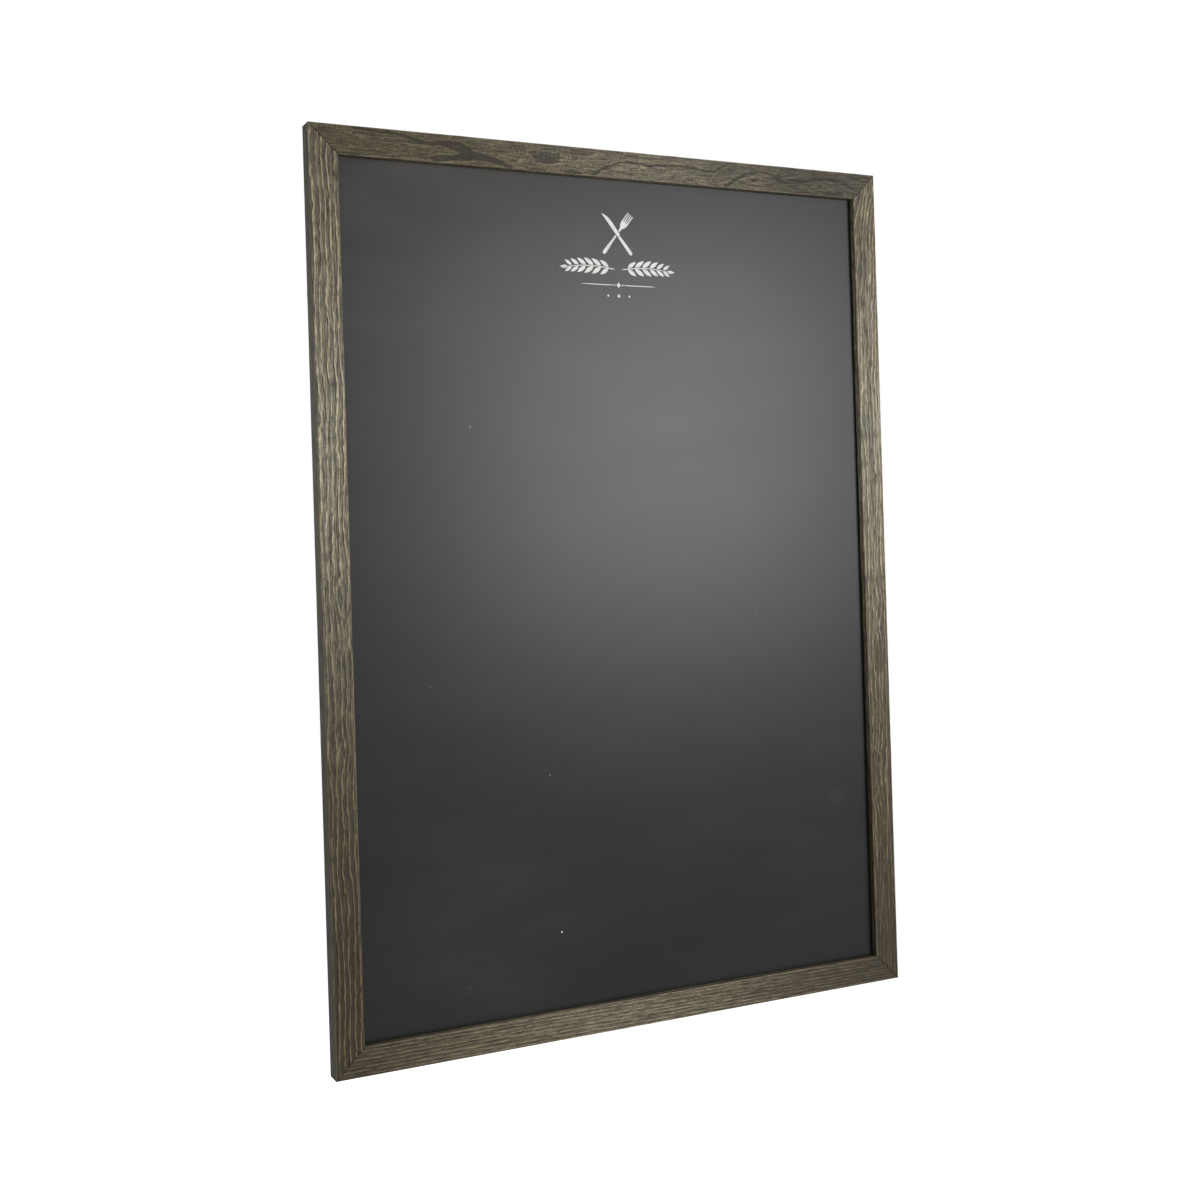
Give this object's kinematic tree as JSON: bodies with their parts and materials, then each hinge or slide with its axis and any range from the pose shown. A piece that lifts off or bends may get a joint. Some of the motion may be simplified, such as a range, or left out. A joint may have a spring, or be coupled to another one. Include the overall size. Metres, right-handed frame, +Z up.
{
  "type": "chalkboard",
  "caption": "Wall-hung chalkboard: a mitred, stained timber frame round a recessed matt black writing panel, with ring hangers and rubber bumpers at its back.",
  "frame": {"origin": "centre of the board's whole box, hangers and bumpers included", "axes": "+Z up the height of the board, +X to the reader's right, -Y the way the writing face looks"},
  "size_m": [0.634, 0.025, 0.881],
  "materials": {
    "stained_timber": "brushed softwood under a grey-brown stain, matt",
    "writing_laminate": "matt black high-pressure laminate with a faint sheen",
    "fibreboard": "bare brown fibreboard",
    "spring_steel": "bare grey spring steel",
    "zinc_steel": "bright zinc-plated steel",
    "rubber": "moulded black rubber"
  },
  "bodies": {
    "board": {"top_rail": "stained_timber", "bottom_rail": "stained_timber", "left_stile": "stained_timber", "right_stile": "stained_timber", "writing_sheet": "writing_laminate", "backing_board": "fibreboard", "top_rail_clip_1": "spring_steel", "top_rail_clip_2": "spring_steel", "top_rail_clip_3": "spring_steel", "bottom_rail_clip_1": "spring_steel", "bottom_rail_clip_2": "spring_steel", "bottom_rail_clip_3": "spring_steel", "left_stile_clip_1": "spring_steel", "left_stile_clip_2": "spring_steel", "left_stile_clip_3": "spring_steel", "left_stile_clip_4": "spring_steel", "right_stile_clip_1": "spring_steel", "right_stile_clip_2": "spring_steel", "right_stile_clip_3": "spring_steel", "right_stile_clip_4": "spring_steel", "top_left_v_nail_1": "spring_steel", "top_left_v_nail_2": "spring_steel", "top_right_v_nail_1": "spring_steel", "top_right_v_nail_2": "spring_steel", "bottom_left_v_nail_1": "spring_steel", "bottom_left_v_nail_2": "spring_steel", "bottom_right_v_nail_1": "spring_steel", "bottom_right_v_nail_2": "spring_steel", "left_hanger_strap": "zinc_steel", "left_hanger_screw": "zinc_steel", "right_hanger_strap": "zinc_steel", "right_hanger_screw": "zinc_steel", "top_left_bumper": "rubber", "top_right_bumper": "rubber", "bottom_left_bumper": "rubber", "bottom_right_bumper": "rubber"},
    "left_ring": {"left_hanger_ring": "zinc_steel"},
    "right_ring": {"right_hanger_ring": "zinc_steel"}
  },
  "joints": [
    {"name": "left_ring_swing", "type": "hinge", "parent": "board", "child": "left_ring", "pos_m": [-0.3075, 0.0088, 0.2905], "axis": [1, 0, 0], "range_deg": [0, 178]},
    {"name": "right_ring_swing", "type": "hinge", "parent": "board", "child": "right_ring", "pos_m": [0.3075, 0.0088, 0.2905], "axis": [1, 0, 0], "range_deg": [0, 178]}
  ]
}
